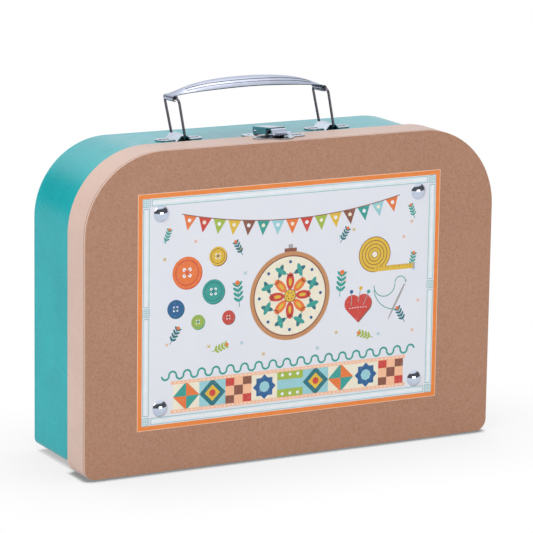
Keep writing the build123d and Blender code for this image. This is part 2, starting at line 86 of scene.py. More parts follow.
makeCamera()
print("camera placed")


# Short ways to write shader nodes

nearbySamples = 6  # for worn edges and for hollows


def seen(red, green, blue):  # a colour as the eye reads it, 0 to 255, by the curve of sRGB
    parts = [v / 255 for v in (red, green, blue)]
    linear = [((p + 0.055) / 1.055) ** 2.4 if p > 0.04045 else p / 12.92 for p in parts]
    return (*linear, 1.0)


def newFinish(name):
    finish = bpy.data.materials.new(name)
    finish.use_nodes = True
    return finish, finish.node_tree, finish.node_tree.nodes["Principled BSDF"]


def feed(tree, socket, value):
    if isinstance(value, bpy.types.NodeSocket):
        tree.links.new(value, socket)
    else:
        socket.default_value = value


def put(tree, kind, **settings):  # a node, with sockets and options set by name
    node = tree.nodes.new("ShaderNode" + kind)
    for key, value in settings.items():
        socketName = key.replace("_", " ")
        if socketName in node.inputs:
            feed(tree, node.inputs[socketName], value)
        else:
            setattr(node, key, value)
    return node


def work(tree, way, *values):
    node = put(tree, "Math", operation=way)
    for socket, value in zip(node.inputs, values):
        feed(tree, socket, value)
    return node.outputs[0]


def blendTones(tree, share, first, second, way="MIX"):
    node = put(tree, "Mix", data_type="RGBA", blend_type=way)
    for place, value in ((0, share), (6, first), (7, second)):
        feed(tree, node.inputs[place], value)
    return node.outputs[2]


def blendLevels(tree, share, first, second):
    node = put(tree, "Mix", data_type="FLOAT")
    for place, value in ((0, share), (2, first), (3, second)):
        feed(tree, node.inputs[place], value)
    return node.outputs[0]


def ramp(tree, value, low, high, start=0.0, end=1.0):
    node = put(tree, "MapRange", From_Min=low, From_Max=high, To_Min=start, To_Max=end)
    feed(tree, node.inputs["Value"], value)
    return node.outputs["Result"]


def split(tree, kind):  # X, Y and Z of the coordinates of that kind
    apart = put(tree, "SeparateXYZ")
    tree.links.new(put(tree, "TexCoord").outputs[kind], apart.inputs[0])
    return apart.outputs


def facing(tree, axis):  # how far a surface looks along an axis, from -1 to 1
    return split(tree, "Normal")[axis]


def away(tree, value, middle):
    return work(tree, "ABSOLUTE", work(tree, "SUBTRACT", value, middle))


def alike(tree, first, second):  # 1 where two directions agree
    node = put(tree, "VectorMath", operation="DOT_PRODUCT")
    for socket, value in zip(node.inputs, (first, second)):
        feed(tree, socket, value)
    return node.outputs["Value"]


def where(tree, stretch, turn):  # marks are drawn out along each axis, then turned
    place = put(tree, "TexCoord").outputs["Object"]
    angles = [math.radians(a) for a in turn]
    spread = put(tree, "Mapping", vector_type="TEXTURE", Scale=stretch, Rotation=angles)
    tree.links.new(place, spread.inputs["Vector"])
    return spread.outputs["Vector"]


def grain(tree, size, detail=2.0, rough=0.5, stretch=(1, 1, 1), turn=(0, 0, 0), twist=0.0):
    node = put(tree, "TexNoise", Scale=perMetre / size, Detail=detail, Roughness=rough,
               Distortion=twist)
    tree.links.new(where(tree, stretch, turn), node.inputs["Vector"])
    return node.outputs["Fac"]  # size is in millimetres


def pattern(tree, span, share=(0.0, 1.0), **noise):  # grain within a span, and how much it shows
    return ramp(tree, grain(tree, **noise), *span, *share)


def relief(tree, shader, depth, **noise):  # depth in millimetres
    bump = put(tree, "Bump", Strength=1.0, Distance=depth / perMetre)
    tree.links.new(grain(tree, **noise), bump.inputs["Height"])
    tree.links.new(bump.outputs["Normal"], shader.inputs["Normal"])


def wornEdge(tree, reach, bend, patches):  # 1 on an edge that bends enough, where it is rubbed
    rounded = put(tree, "Bevel", samples=nearbySamples, Radius=reach / perMetre).outputs["Normal"]
    same = alike(tree, rounded, put(tree, "NewGeometry").outputs["Normal"])
    edge = ramp(tree, same, 1 - bend[0], 1 - bend[1])
    return work(tree, "MULTIPLY", edge, pattern(tree, **patches))


def topCoat(tree, shader, span, share, rough):  # a film on what faces up
    weight = ramp(tree, facing(tree, "Z"), *span, *share)
    tree.links.new(weight, shader.inputs["Coat Weight"])
    shader.inputs["Coat Roughness"].default_value = rough


def nook(tree, reach):  # 0 deep in a hollow, 1 in the open
    node = put(tree, "AmbientOcclusion", samples=nearbySamples, Distance=reach / perMetre)
    return node.outputs["AO"]


# Kraft board: brown fibres with darker and paler flecks, paler where the paper turns over an edge,
# with painted sheen on faces that look sideways or up

kraft = {
    "panel": seen(171, 123, 96),
    # rim is a paler copy of the panel tone, a painted sheen for faces that look sideways or up
    "rim": seen(222, 192, 179),
    "flat": (0.35, 0.8),  # how far a face looks forwards or back, from the painted-sheen rim tone to the panel tone
    "dark": seen(128, 86, 62),
    "pale": seen(222, 190, 168),
    "edge": seen(232, 202, 182),
    "cloud": {"size": 45, "detail": 3, "span": (0.35, 0.65), "share": (0, 0.08)},
    "mottle": {"size": 1.4, "detail": 3, "rough": 0.55, "span": (0.36, 0.66), "share": (0, 0.13)},
    "fibre": {"size": 0.42, "detail": 1, "rough": 0.4, "stretch": (1, 1, 5), "twist": 0.4,
              "span": (0.56, 0.72)},
    "fibres": [  # turned about the panel, how strongly, and which way they go off the paper
        ((0, 6, 0), 0.22, "dark"), ((0, -62, 0), 0.10, "pale"),
        ((0, 55, 20), 0.12, "dark"), ((10, -9, 0), 0.16, "pale"),
    ],
    "worn": {"reach": 1.2, "bend": (0.02, 0.2),
             "patches": {"size": 6, "detail": 3, "span": (0.35, 0.6), "share": (0.15, 0.6)}},
    "seam": {"tone": seen(166, 118, 90), "width": 0.5, "full": 0.3, "share": 0.8},
    "rough": 0.5, "gloss": 0.4,
    "coat": {"span": (0.3, 1.0), "share": (0, 0.35), "rough": 0.4},
    "relief": {"size": 0.7, "detail": 4, "rough": 0.6, "depth": 0.03},
}
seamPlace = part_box("lid_wall")[0].y


def kraftFinish():
    finish, tree, shader = newFinish("kraftBoard")
    # painted sheen: faces that look sideways or up get the paler rim tone
    flat = ramp(tree, work(tree, "ABSOLUTE", facing(tree, "Y")), *kraft["flat"])
    tint = blendTones(tree, flat, kraft["rim"], kraft["panel"])
    tint = blendTones(tree, pattern(tree, **kraft["cloud"]), tint, kraft["dark"])
    tint = blendTones(tree, pattern(tree, **kraft["mottle"]), tint, kraft["pale"])
    for turn, share, fleck in kraft["fibres"]:
        threads = pattern(tree, turn=turn, share=(0, share), **kraft["fibre"])
        tint = blendTones(tree, threads, tint, kraft[fleck])
    tint = blendTones(tree, wornEdge(tree, **kraft["worn"]), tint, kraft["edge"])
    seam = kraft["seam"]
    off = work(tree, "MULTIPLY", away(tree, split(tree, "Object")["Y"], seamPlace), perMetre)
    joint = ramp(tree, off, seam["width"], seam["width"] * seam["full"], 0, seam["share"])
    tint = blendTones(tree, joint, tint, seam["tone"])
    tree.links.new(tint, shader.inputs["Base Color"])
    shader.inputs["Roughness"].default_value = kraft["rough"]
    shader.inputs["Specular IOR Level"].default_value = kraft["gloss"]
    topCoat(tree, shader, **kraft["coat"])
    relief(tree, shader, **kraft["relief"])
    return finish


kraftBoard = kraftFinish()


# Teal paper over board: a soft sheen, faint brushed streaks along the band, small pale rubs

teal = {
    "paper": seen(0, 176, 181),
    "deep": seen(0, 164, 170),
    "pale": seen(70, 198, 202),
    "edge": seen(150, 214, 212),
    "cloud": {"size": 46, "detail": 3, "rough": 0.55, "span": (0.34, 0.66)},
    "streak": {"size": 3.2, "detail": 3, "rough": 0.6, "stretch": (1, 6, 1),
               "span": (0.45, 0.72), "share": (0, 0.10)},
    "rub": {"size": 15, "detail": 5, "rough": 0.65, "stretch": (1, 2, 1), "turn": (0, 20, 0),
            "span": (0.60, 0.78), "share": (0, 0.15)},
    "worn": {"reach": 1.0, "bend": (0.02, 0.25),
             "patches": {"size": 5, "detail": 3, "span": (0.38, 0.62), "share": (0.1, 0.7)}},
    "shine": {"size": 9, "detail": 3, "span": (0.3, 0.7), "share": (0.26, 0.36)},
    "gloss": 0.3,
    "coat": {"span": (0.3, 0.65), "share": (0, 1.0), "rough": 0.25},  # polished by hands
    "relief": {"size": 1.6, "detail": 2, "stretch": (1, 2.5, 1), "depth": 0.006},
}


def tealFinish():
    finish, tree, shader = newFinish("tealPaper")
    tint = blendTones(tree, pattern(tree, **teal["cloud"]), teal["paper"], teal["deep"])
    for marks in ("streak", "rub"):
        tint = blendTones(tree, pattern(tree, **teal[marks]), tint, teal["pale"])
    tint = blendTones(tree, wornEdge(tree, **teal["worn"]), tint, teal["edge"])
    tree.links.new(tint, shader.inputs["Base Color"])
    tree.links.new(pattern(tree, **teal["shine"]), shader.inputs["Roughness"])
    shader.inputs["Specular IOR Level"].default_value = teal["gloss"]
    topCoat(tree, shader, **teal["coat"])
    relief(tree, shader, **teal["relief"])
    return finish


tealPaper = tealFinish()


# Plain lining paper inside

lining = {
    "paper": seen(233, 226, 211),
    "fibre": seen(206, 195, 174),
    "cloud": {"size": 60, "detail": 3, "span": (0.35, 0.65), "share": (0, 0.35)},
    "threads": {"size": 1.0, "stretch": (1, 1, 4), "turn": (20, 40, 0),
                "span": (0.60, 0.74), "share": (0, 0.4)},
    "rough": 0.85,
    "relief": {"size": 0.9, "detail": 3, "depth": 0.03},
}


def liningFinish():
    finish, tree, shader = newFinish("liningPaper")
    tint = lining["paper"]
    for marks in ("cloud", "threads"):
        tint = blendTones(tree, pattern(tree, **lining[marks]), tint, lining["fibre"])
    tree.links.new(tint, shader.inputs["Base Color"])
    shader.inputs["Roughness"].default_value = lining["rough"]
    relief(tree, shader, **lining["relief"])
    return finish


liningPaper = liningFinish()


# Label sheet: white printed paper with an orange edge and a satin face

label = {
    "white": seen(226, 228, 236),
    "shade": seen(206, 214, 230),
    "cloud": {"size": 30, "detail": 3, "span": (0.35, 0.65), "share": (0, 0.12)},
    "orange": seen(232, 128, 46),
    "faded": seen(246, 152, 78),
    "fading": {"size": 4, "detail": 3, "span": (0.35, 0.65), "share": (0, 0.22)},
    "edge": (3.2, 0.05),  # width of the orange and half its blur, in millimetres
    "cut": seen(240, 205, 178),
    "outline": (0.35, 0.1),
    "wobble": {"size": 5, "detail": 2, "span": (0, 1), "share": (-0.06, 0.06)},
    "satin": 0.42,
    "relief": {"size": 0.7, "depth": 0.01},
}
labelLow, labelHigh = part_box("printed_label")
labelMiddle = (labelLow + labelHigh) / 2
labelHalf = (labelHigh - labelLow) / 2


def labelFinish():
    finish, tree, shader = newFinish("labelSheet")
    place = split(tree, "Object")
    sides = []
    for axis, middle, half in (("X", labelMiddle.x, labelHalf.x),
                               ("Z", labelMiddle.z, labelHalf.z)):
        sides.append(work(tree, "SUBTRACT", half, away(tree, place[axis], middle)))
    inward = work(tree, "MULTIPLY", work(tree, "MINIMUM", *sides), perMetre)
    inward = work(tree, "ADD", inward, pattern(tree, **label["wobble"]))
    white = blendTones(tree, pattern(tree, **label["cloud"]), label["white"], label["shade"])
    orange = blendTones(tree, pattern(tree, **label["fading"]), label["orange"], label["faded"])
    pastEdge, pastOutline = (ramp(tree, inward, width - blur, width + blur)
                             for width, blur in (label["edge"], label["outline"]))
    tint = blendTones(tree, pastEdge, orange, white)
    tint = blendTones(tree, pastOutline, label["cut"], tint)
    tree.links.new(tint, shader.inputs["Base Color"])
    shader.inputs["Roughness"].default_value = label["satin"]
    relief(tree, shader, **label["relief"])
    return finish


labelSheet = labelFinish()
print("papers mixed")


# Plated metal: bright on the fittings, softer on the grip, darker on the bent wire (a painted dark
# reflection), dull on the hidden hinges; a kind may have faces that look one way in painted shade,
# as (axis, darkest, clear, share)

plating = {
    "bright": {"tint": seen(230, 231, 240), "smooth": (0.07, 0.14), "worn": 0.12},
    "pressed": {"tint": seen(244, 245, 250), "smooth": (0.12, 0.20), "worn": 0.10, "paintedPitShade": 0.9,
                "shaded": [("Z", 0.12, 0.4, 0.5)]},
    "grip": {"tint": seen(208, 207, 219), "smooth": (0.38, 0.43), "worn": 0.08,
             "shaded": [("Z", -0.7, -0.45, 0.9), ("Y", -0.97, -0.85, 0.9)]},
    # painted dark reflection: the wire has the same plating as the fittings, given a dark tint
    "wire": {"tint": seen(112, 101, 107), "smooth": (0.34, 0.42), "worn": 0.2},
    "dull": {"tint": seen(186, 184, 180), "smooth": (0.32, 0.46), "worn": 0.25},
    "film": {"size": 9, "detail": 3, "rough": 0.55, "span": (0.4, 0.7)},
    "filmTone": seen(150, 150, 160), "filmShare": 0.12,
    "wear": {"size": 1.6, "detail": 4, "rough": 0.7, "span": (0.62, 0.8)},
    "wearTone": seen(110, 106, 110),
    "shade": seen(26, 44, 50),
    # painted shade for recesses: a dark tone where ambient occlusion finds the plating hidden
    "nook": {"tone": seen(34, 32, 36), "reach": 2.5, "span": (0.05, 0.6)},
    "pitShade": {  # painted shade in ovals where the prongs are turned down: the middle of each row of them
        "rows": [(-70.4, 9.2), (-49.2, 9.2), (39.6, 9.2), (60.8, 9.2),
                 (-17.7, -25.9), (8.1, -25.9)],
        "count": 3, "pitch": 2.6, "halfWidth": 1.0, "halfDepth": 2.3, "rim": 0.45,
    },
    "relief": {"size": 0.4, "stretch": (14, 1, 1), "depth": 0.002},
}


def paintedPitShade(tree):  # 1 in the painted shade of the hollows, 0 outside them
    pitShade = plating["pitShade"]
    place = split(tree, "Object")
    half = pitShade["pitch"] / 2
    found = 0.0
    for x, y in pitShade["rows"]:
        along = work(tree, "MULTIPLY_ADD", place["X"], perMetre, -x)
        deep = work(tree, "MULTIPLY_ADD", place["Y"], perMetre, -y)
        inRow = work(tree, "LESS_THAN", work(tree, "ABSOLUTE", along), half * pitShade["count"])
        step = work(tree, "WRAP", along, half, -half)
        oval = []
        for value, reach in ((step, pitShade["halfWidth"]), (deep, pitShade["halfDepth"])):
            part = work(tree, "DIVIDE", work(tree, "ABSOLUTE", value), reach)
            oval.append(work(tree, "POWER", part, 2))
        inside = ramp(tree, work(tree, "ADD", *oval), 1 + pitShade["rim"], 1 - pitShade["rim"])
        found = work(tree, "MAXIMUM", found, work(tree, "MULTIPLY", inside, inRow))
    return found


def platedFinish(kind, name):
    finish, tree, shader = newFinish(name)
    look = plating[kind]
    film = pattern(tree, **plating["film"])
    cloudy = work(tree, "MULTIPLY", film, plating["filmShare"])
    tint = blendTones(tree, cloudy, look["tint"], plating["filmTone"])
    worn = pattern(tree, share=(0, look["worn"]), **plating["wear"])
    tint = blendTones(tree, worn, tint, plating["wearTone"])
    # painted shade: faces that look one way blend towards the dark shade tone
    for axis, darkest, clear, share in look.get("shaded", []):
        shaded = ramp(tree, facing(tree, axis), darkest, clear, share, 0)
        tint = blendTones(tree, shaded, tint, plating["shade"])
    # painted shade: dark ovals over the rows of turned-down prongs
    if "paintedPitShade" in look:
        pitShade = work(tree, "MULTIPLY", paintedPitShade(tree), look["paintedPitShade"])
        tint = blendTones(tree, pitShade, tint, plating["shade"])
    # painted shade: the plating takes the dark tone in recesses, by ambient occlusion
    dark = plating["nook"]
    inOpen = ramp(tree, nook(tree, dark["reach"]), *dark["span"])
    tint = blendTones(tree, inOpen, dark["tone"], tint)
    tree.links.new(tint, shader.inputs["Base Color"])
    shader.inputs["Metallic"].default_value = 1.0
    tree.links.new(ramp(tree, film, 0, 1, *look["smooth"]), shader.inputs["Roughness"])
    relief(tree, shader, **plating["relief"])
    return finish


finishes = {
    kraftBoard: ["lid_front_panel", "lid_wall"],
    tealPaper: ["base_wall", "base_back_panel"],
    liningPaper: ["base_wall_lining", "base_back_lining", "lid_wall_lining", "lid_front_lining"],
    labelSheet: ["printed_label"],
    platedFinish("bright", "brightChrome"): ["latch_pin", "latch_lever", "label_rivets"],
    platedFinish("pressed", "pressedChrome"): ["handle_bracket_left", "handle_bracket_right",
                                               "latch_base", "catch_plate"],
    platedFinish("grip", "gripChrome"): ["handle_grip"],
    platedFinish("wire", "wireChrome"): ["handle_loop_left", "handle_loop_right"],
    platedFinish("dull", "dullNickel"): [
        "handle_clinch_plates", "latch_clinch_plate", "catch_clinch_plate",
        "base_hinge_clinch_plates", "lid_hinge_clinch_plates", "hinge_base_leaf_left",
        "hinge_base_leaf_right", "hinge_lid_leaf_left", "hinge_lid_leaf_right", "hinge_pins"],
}
print("metals mixed")
for finish, names in finishes.items():
    for name in names:
        for materialSlot in nodes[name].material_slots:
            materialSlot.material = finish
print("finishes given to", sum(len(n) for n in finishes.values()), "pieces")


# Printed artwork of the label: flat inks just proud of the paper, drawn in millimetres from the
# label's middle

inks = {
    "line": seen(128, 186, 190),
    "pale": seen(220, 234, 240),
    "white": seen(236, 240, 246),
    "teal": seen(44, 158, 148),
    "deep": seen(24, 112, 124),
    "blue": seen(26, 92, 150),
    "orange": seen(232, 118, 48),
    "red": seen(206, 62, 50),
    "yellow": seen(224, 186, 50),
    "lime": seen(160, 186, 62),
    "brown": seen(138, 80, 60),
    "wood": seen(196, 140, 92),
    "peach": seen(246, 190, 152),
    "grey": seen(168, 164, 166),
    "cream": seen(238, 232, 212),
    "sky": seen(150, 206, 216),
}
layerHeight = 0.02  # one ink over another
bowStep = 12  # degrees
art = bmesh.new()
inkLayer = art.loops.layers.float_color.new("ink")
laidLayer = art.verts.layers.int.new("laid")


def newShape():
    return [v for v in art.verts if not v[laidLayer]]


def lay(ink, spot, turn=0, stretch=(1, 1), level=1):  # places and inks what was drawn last
    shape = newShape()
    turned = Matrix.Rotation(math.radians(turn), 4, "Z") @ Matrix.Diagonal((*stretch, 1, 1))
    placing = Matrix.Translation((*spot, level * layerHeight)) @ turned
    bmesh.ops.transform(art, matrix=placing, verts=shape)
    for face in {f for v in shape for f in v.link_faces}:
        for loop in face.loops:
            loop[inkLayer] = inks[ink]
    for point in shape:
        point[laidLayer] = 1


def disc(ink, spot, radius, level=1, stretch=(1, 1), turn=0, sides=28):
    bmesh.ops.create_circle(art, cap_ends=True, segments=sides, radius=radius)
    lay(ink, spot, turn, stretch, level)


def ring(ink, spot, outer, inner, level=1, turn=0, sides=40):
    edges = set()
    for radius in (outer, inner):
        drawn = bmesh.ops.create_circle(art, cap_ends=False, segments=sides, radius=radius)["verts"]
        edges |= {e for v in drawn for e in v.link_edges}
    bmesh.ops.bridge_loops(art, edges=list(edges))
    lay(ink, spot, turn, level=level)


def strip(ink, spot, length, width, level=1, turn=0):
    bmesh.ops.create_grid(art, x_segments=1, y_segments=1, size=0.5)
    lay(ink, spot, turn, (length, width), level)


def corner(ink, spot, size, level=1, turn=0):  # half of a square, cut from corner to corner
    bmesh.ops.create_grid(art, x_segments=1, y_segments=1, size=0.5)
    shape = newShape()
    edges = list({e for v in shape for e in v.link_edges})
    faces = list({f for v in shape for f in v.link_faces})
    bmesh.ops.bisect_plane(art, geom=shape + edges + faces, plane_co=(0, 0, 0), plane_no=(1, 1, 0),
                           clear_outer=True)
    lay(ink, spot, turn, (size, size), level)


def bow(ink, spot, radius, width, start, sweep, level=1):  # part of a ring, degrees from the right
    ends = [bmesh.ops.create_vert(art, co=(radius + side * width / 2, 0, 0))["vert"][0]
            for side in (-1, 1)]
    bmesh.ops.spin(art, geom=[*ends, art.edges.new(ends)], cent=(0, 0, 0), axis=(0, 0, 1),
                   angle=math.radians(sweep), steps=max(4, int(abs(sweep) / bowStep)))
    lay(ink, spot, start, level=level)


def squareRing(ink, spot, half, width, level=1):
    ring(ink, spot, half * math.sqrt(2), (half - width) * math.sqrt(2), level, 45, sides=4)


def beside(spot, across, up):
    return (spot[0] + across, spot[1] + up)


def around(spot, radius, angle):
    turn = math.radians(angle)
    return beside(spot, radius * math.cos(turn), radius * math.sin(turn))


# Border of thin lines, with a small square at each corner and half way up the sides

border = {
    "outer": 3.75, "inner": 8.2, "line": 0.38, "gap": 1.1,
    "band": {"inset": 1, "white": 0.3},  # the white along its middle, as a part of the depth
    "square": {"size": 5.2, "nested": 0.62, "nestedLine": 0.3, "cross": 0.8, "crossLine": 0.34},
}


def borderBand(middle, length, upright):
    turn = 90 if upright else 0
    deep = border["inner"] - border["outer"]
    line, band = border["line"], border["band"]
    strip("pale", middle, length, deep, 1, turn)
    strip("white", middle, length - band["inset"], deep * band["white"], 2, turn)
    for side in (-1, 1):
        shift = side * (deep - line) / 2
        along = side * (length - line) / 2
        offset = (shift, 0) if upright else (0, shift)
        ending = (0, along) if upright else (along, 0)
        strip("line", beside(middle, *offset), length, line, 3, turn)
        strip("line", beside(middle, *ending), line, deep, 3, turn)


def borderSquare(spot):
    square = border["square"]
    half = square["size"] / 2
    strip("pale", spot, 2 * half, 2 * half, 1)
    squareRing("line", spot, half, border["line"], 3)
    squareRing("line", spot, half * square["nested"], square["nestedLine"], 3)
    for turn in (0, 90):
        strip("line", spot, half * square["cross"], square["crossLine"], 3, turn)


def drawBorder():
    middle = (border["outer"] + border["inner"]) / 2
    across, up = (half * perMetre - middle for half in (labelHalf.x, labelHalf.z))
    square, gap = border["square"]["size"], border["gap"]
    acrossLength = 2 * (across - square / 2 - gap)
    uprightLength = up - square - 2 * gap
    for side in (-1, 1):
        borderBand((0, side * up), acrossLength, False)
        borderSquare((side * across, 0))
        for level in (-1, 1):
            borderSquare((side * across, level * up))
            halfWay = level * (square / 2 + gap + uprightLength / 2)
            borderBand((side * across, halfWay), uprightLength, True)


drawBorder()


# A string of flags across the top

flags = {
    "count": 15, "high": 62.5, "dip": 9.5, "reach": 80, "size": 6.4, "shape": (0.86, 1.05),
    "hang": 3.3, "dot": 1.3,
    "string": {"steps": 36, "width": 0.55, "overlap": 0.2, "level": 4, "lift": 0.3},
    "inks": ["orange", "red", "lime", "yellow", "brown", "teal", "sky"],
}


def flagString(x):
    return flags["high"] - flags["dip"] * (1 - (x / flags["reach"]) ** 2)


def drawFlags():
    reach, string = flags["reach"], flags["string"]
    for i in range(string["steps"]):
        ends = [reach * (2 * (i + e) / string["steps"] - 1) for e in (0, 1)]
        run = Vector((ends[1] - ends[0], flagString(ends[1]) - flagString(ends[0])))
        middle = (sum(ends) / 2, sum(flagString(x) for x in ends) / 2)
        slope = math.degrees(math.atan2(run.y, run.x))
        level = string["level"] + string["lift"] * (i % 2)
        strip("brown", middle, run.length + string["overlap"], string["width"], level, slope)
    for i in range(flags["count"]):
        x = reach * (2 * (i + 0.5) / flags["count"] - 1)
        ink = flags["inks"][i % len(flags["inks"])]
        slope = math.degrees(math.atan(2 * flags["dip"] * x / reach ** 2))
        hung = (x, flagString(x) - flags["hang"])
        disc(ink, hung, flags["size"], 2, flags["shape"], slope + 180, 3)
        disc("cream" if i % 2 else "white", hung, flags["dot"], 3, sides=12)


drawFlags()


# A round embroidery hoop with a petalled flower worked in it

hoop = {
    "spot": (-1, 2), "outer": 29.5, "inner": 26.6, "line": (0.3, -0.5), "sides": 72,
    "screw": [("grey", 2.2, 3.2, 5.2), ("brown", 1.0, 9.0, 2.4)],  # above the hoop, across and up
    "petals": 8, "petal": {"away": 9.8, "radius": 5.6, "slim": 0.52},
    "vein": {"away": 9.2, "radius": 2.6, "slim": 0.42},
    "leaf": {"away": 18.2, "radius": 4.6, "slim": 0.36, "between": 22.5,
             "turns": [("deep", -17), ("teal", 62)]},
    "berry": {"away": 22.6, "radius": 1.1},
    "tendril": {"away": 15.6, "radius": 2.4, "width": 0.5, "start": 100, "sweep": 160},
    "heart": {"radius": 4.4, "line": 0.5, "dots": 6, "away": 2.2, "dot": 0.5},
}


def drawHoop():
    spot, inner, sides = hoop["spot"], hoop["inner"], hoop["sides"]
    for level, (ink, above, across, up) in enumerate(hoop["screw"], 1):
        strip(ink, beside(spot, 0, hoop["outer"] + above), across, up, level)
    ring("wood", spot, hoop["outer"], inner, 3, sides=sides)
    ring("brown", spot, *(inner + edge for edge in hoop["line"]), 4, sides=sides)
    disc("cream", spot, inner, 1, sides=sides)
    petal, vein, leaf, berry, tendril, heart = (
        hoop[k] for k in ("petal", "vein", "leaf", "berry", "tendril", "heart"))
    for i in range(hoop["petals"]):
        angle = 360 * i / hoop["petals"]
        ink = "orange" if i % 2 else "red"
        disc(ink, around(spot, petal["away"], angle), petal["radius"], 3, (1, petal["slim"]), angle)
        middle = around(spot, vein["away"], angle)
        disc("yellow", middle, vein["radius"], 4, (1, vein["slim"]), angle, sides=16)
        root = around(spot, leaf["away"], angle + leaf["between"])
        for level, (ink, turn) in enumerate(leaf["turns"], 2):
            disc(ink, root, leaf["radius"], level, (1, leaf["slim"]), angle + turn, sides=16)
        disc("blue", around(spot, berry["away"], angle), berry["radius"], 3, sides=12)
        bow("deep", around(spot, tendril["away"], angle), tendril["radius"], tendril["width"],
            angle + tendril["start"], tendril["sweep"], 3)
    disc("yellow", spot, heart["radius"], 5)
    ring("brown", spot, heart["radius"], heart["radius"] - heart["line"], 6)
    for i in range(heart["dots"]):
        place = around(spot, heart["away"], 360 / heart["dots"] * i)
        disc("brown", place, heart["dot"], 6, sides=8)


drawHoop()


# Sewn buttons in several sizes

buttons = {
    "sides": 36, "shadow": (0.5, -0.6), "threadWidth": 0.5,
    "groove": (0.80, 0.74), "hole": 0.12, "holeAway": 0.27, "thread": 0.54,  # shares of the radius
    "all": [((-76, 24), 10.5, "orange", "red"), ((-54, 33), 6.2, "yellow", "brown"),
            ((-57, 10), 8.0, "teal", "deep"), ((-84, 1), 6.0, "blue", "deep"),
            ((-46, -8), 4.6, "red", "brown"), ((-68, -9), 4.8, "lime", "teal")],
}


def drawButton(spot, radius, ink, shade):
    disc(shade, beside(spot, *buttons["shadow"]), radius, 1, sides=buttons["sides"])
    disc(ink, spot, radius, 2, sides=buttons["sides"])
    ring(shade, spot, *(radius * edge for edge in buttons["groove"]), 3)
    for i in range(4):
        place = around(spot, radius * buttons["holeAway"], 45 + 90 * i)
        disc("white", place, radius * buttons["hole"], 3, sides=12)
    for turn in (45, 135):
        strip(shade, spot, radius * buttons["thread"], buttons["threadWidth"], 4, turn)


for settings in buttons["all"]:
    drawButton(*settings)


# A rolled tape with its end pulled out, marked only with ticks

tape = {
    "spot": (62, 24), "radius": 11.5, "rim": 0.5, "turns": 4, "pitch": 2.4, "band": 1.9,
    "core": 2.0, "width": 3.4, "tail": 30, "sunk": 0.2, "tip": (1.4, 0.8),
    "ticks": {"count": 13, "start": 2, "pitch": 2.1, "width": 0.36,
              "tall": 1.9, "short": 1.1, "tallEvery": 4},
}


def drawTape():
    spot, radius, width, ticks = tape["spot"], tape["radius"], tape["width"], tape["ticks"]
    disc("brown", spot, radius + tape["rim"], 1, sides=44)
    for i in range(tape["turns"]):
        outer = radius - tape["pitch"] * i
        ring("yellow", spot, outer, outer - tape["band"], 2, sides=44)
    disc("cream", spot, tape["core"], 3)
    low = width / 2 - radius - tape["sunk"]
    strip("yellow", beside(spot, tape["tail"] / 2, low), tape["tail"], width, 3)
    strip("grey", beside(spot, tape["tail"], low), tape["tip"][0], width + tape["tip"][1], 4)
    for i in range(ticks["count"]):
        tall = ticks["short"] if i % ticks["tallEvery"] else ticks["tall"]
        place = beside(spot, ticks["start"] + ticks["pitch"] * i, low + (width - tall) / 2)
        strip("brown", place, ticks["width"], tall, 4)


drawTape()


# A heart-shaped cushion with three pins and a row of stitches

cushion = {
    "spot": (50, -12), "size": 8.4, "lobe": 0.71, "lobeAway": 0.5, "lift": 0.2,
    "layers": [("brown", (0.6, -0.7)), ("red", (0, 0))],
    "pins": [((-5, 7.5), 90, "blue"), ((1, 9.5), 78, "yellow"), ((6, 7), 66, "teal")],
    "pin": {"length": 9, "width": 0.5, "headAway": 4.8, "head": 1.3},
    "stitches": {"count": 7, "pitch": 2, "high": 1.5, "sag": 0.1, "length": 1.2, "width": 0.45},
}


def drawCushion():
    spot, size, lift = cushion["spot"], cushion["size"], cushion["lift"]
    for level, (ink, shift) in enumerate(cushion["layers"], 1):
        middle = beside(spot, *shift)
        for side in (-1, 1):
            lobe = beside(middle, side * size * cushion["lobeAway"], size * cushion["lobeAway"])
            disc(ink, lobe, size * cushion["lobe"], level + lift * side, sides=32)
        disc(ink, middle, size, level + 2 * lift, sides=4)
    pin, stitches = cushion["pin"], cushion["stitches"]
    for shift, turn, ink in cushion["pins"]:
        middle = beside(spot, *shift)
        strip("grey", middle, pin["length"], pin["width"], 3, turn)
        disc(ink, around(middle, pin["headAway"], turn), pin["head"], 4, sides=16)
    for i in range(stitches["count"]):
        off = i - stitches["count"] // 2
        place = beside(spot, stitches["pitch"] * off, stitches["high"] - abs(off) * stitches["sag"])
        strip("white", place, stitches["length"], stitches["width"], 4)


drawCushion()


# A needle and its thread

needle = {
    "spot": (80, -8), "turn": 62, "half": 15, "slim": 0.05,
    "eye": {"away": 12.3, "radius": 1.0, "slim": 0.4},
    "thread": 0.55,
    "bows": [((82, 3.6), 4.0, -10, 190), ((70, 3.0), 8.0, 180, 180), ((78.6, 2.4), 16.8, 188, 80)],
}


def drawNeedle():
    spot, turn, eye = needle["spot"], needle["turn"], needle["eye"]
    disc("grey", spot, needle["half"], 2, (1, needle["slim"]), turn, sides=20)
    place = around(spot, eye["away"], turn)
    disc("white", place, eye["radius"], 3, (1, eye["slim"]), turn, sides=12)
    for middle, radius, start, sweep in needle["bows"]:
        bow("teal", middle, radius, needle["thread"], start, sweep, 3)


drawNeedle()


# A row of patchwork along the bottom; the parts are given as shares of a patch

patchwork = {
    "low": -66.5, "size": 19.0,
    "row": ["pinwheel", "diamond", "nine", "star", "bars", "diamond", "pinwheel", "star", "nine"],
    "grounds": {"pinwheel": "cream", "diamond": "sky", "nine": "peach",
                "star": "cream", "bars": "sky"},
    "pinwheel": {"away": 0.354, "inks": ["orange", "teal"]},
    "diamond": [("deep", 0.5, 4), ("yellow", 0.29, 4), ("red", 0.12, 20)],
    "nine": ["brown", "red", "brown", "red", "brown"],
    "star": {"radius": 0.44, "middle": 0.2},
    "bars": {"apart": 0.3, "dot": 1.1},
    "hem": {"over": 3, "width": 2.2, "stitches": 57, "pitch": 3, "stitch": (1.7, 0.45)},
}


